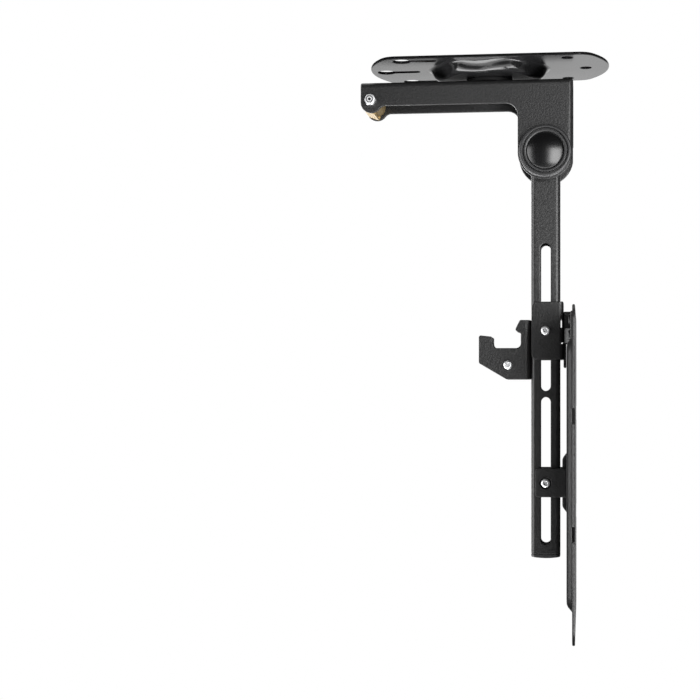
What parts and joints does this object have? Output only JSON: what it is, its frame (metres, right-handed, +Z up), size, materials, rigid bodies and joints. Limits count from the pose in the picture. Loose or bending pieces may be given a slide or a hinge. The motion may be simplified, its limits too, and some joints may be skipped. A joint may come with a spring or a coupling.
{
  "type": "tv ceiling mount",
  "caption": "Flip-down television ceiling mount: swivelling L-bracket on a stamped ceiling plate, folding slotted arm with a catch hook, and a sliding television plate.",
  "frame": {"origin": "centre of the ceiling plate's top face, on the swivel axis", "axes": "+Z up to the ceiling, +X the way the television faces when the arm hangs down, +Y along the pivot"},
  "size_m": [0.1718, 0.22, 0.3881],
  "materials": {
    "gloss_paint": "glossy black paint",
    "powder_coat": "satin black powder coat with a fine texture",
    "black_plastic": "satin black moulding",
    "gloss_plastic": "glossy black moulding",
    "zinc": "bright zinc plate",
    "yellow_zinc": "yellow chromated zinc plate",
    "black_zinc": "black plated"
  },
  "bodies": {
    "ceiling": {"ceiling_plate": "gloss_paint", "swivel_bolt": "zinc", "swivel_head_washer": "zinc", "swivel_disc": "black_plastic", "swivel_washer": "zinc", "swivel_nut": "zinc"},
    "bracket": {"l_bracket": "powder_coat", "pivot_bolt": "zinc", "pivot_nut": "zinc", "pivot_washers": "zinc", "pivot_cover_rings": "black_plastic", "pivot_domes": "gloss_plastic", "latch_bolt": "zinc", "latch_nut": "zinc", "latch_sleeve": "yellow_zinc", "latch_spring": "yellow_zinc"},
    "arm": {"arm_tube": "powder_coat", "tube_end_cap": "black_plastic", "pivot_bushes": "black_plastic", "pivot_spacer": "zinc", "hook_bracket": "powder_coat", "hook_bolt": "zinc", "hook_bolt_washer": "black_zinc", "hook_nut": "zinc"},
    "pawl": {"latch_pawl": "yellow_zinc"},
    "carriage": {"upper_clamp": "powder_coat", "clamp_bolt": "zinc", "clamp_bolt_washer": "black_zinc", "clamp_nut": "zinc", "plate_hanger": "powder_coat", "lower_bridge": "powder_coat", "lower_bracket": "powder_coat", "lower_bolt": "zinc", "lower_bolt_washer": "black_zinc", "lower_nut": "zinc", "tv_plate": "powder_coat", "plate_rivets": "black_zinc"}
  },
  "joints": [
    {"name": "swivel", "type": "hinge", "parent": "ceiling", "child": "bracket", "pos_m": [0, 0, -0.0119], "axis": [0, 0, 1], "range_deg": [-45, 45]},
    {"name": "fold", "type": "hinge", "parent": "bracket", "child": "arm", "pos_m": [0.0393, 0, -0.0623], "axis": [0, 1, 0], "range_deg": [0, 90]},
    {"name": "latch", "type": "hinge", "parent": "bracket", "child": "pawl", "pos_m": [-0.0819, 0, -0.0244], "axis": [0, -1, 0], "range_deg": [0, 40], "stiffness_Nm_per_rad": 0.02, "springref_deg": -14.32},
    {"name": "height", "type": "slide", "parent": "arm", "child": "carriage", "axis": [0, 0, 1], "range_m": [-0.039, 0.057]}
  ]
}
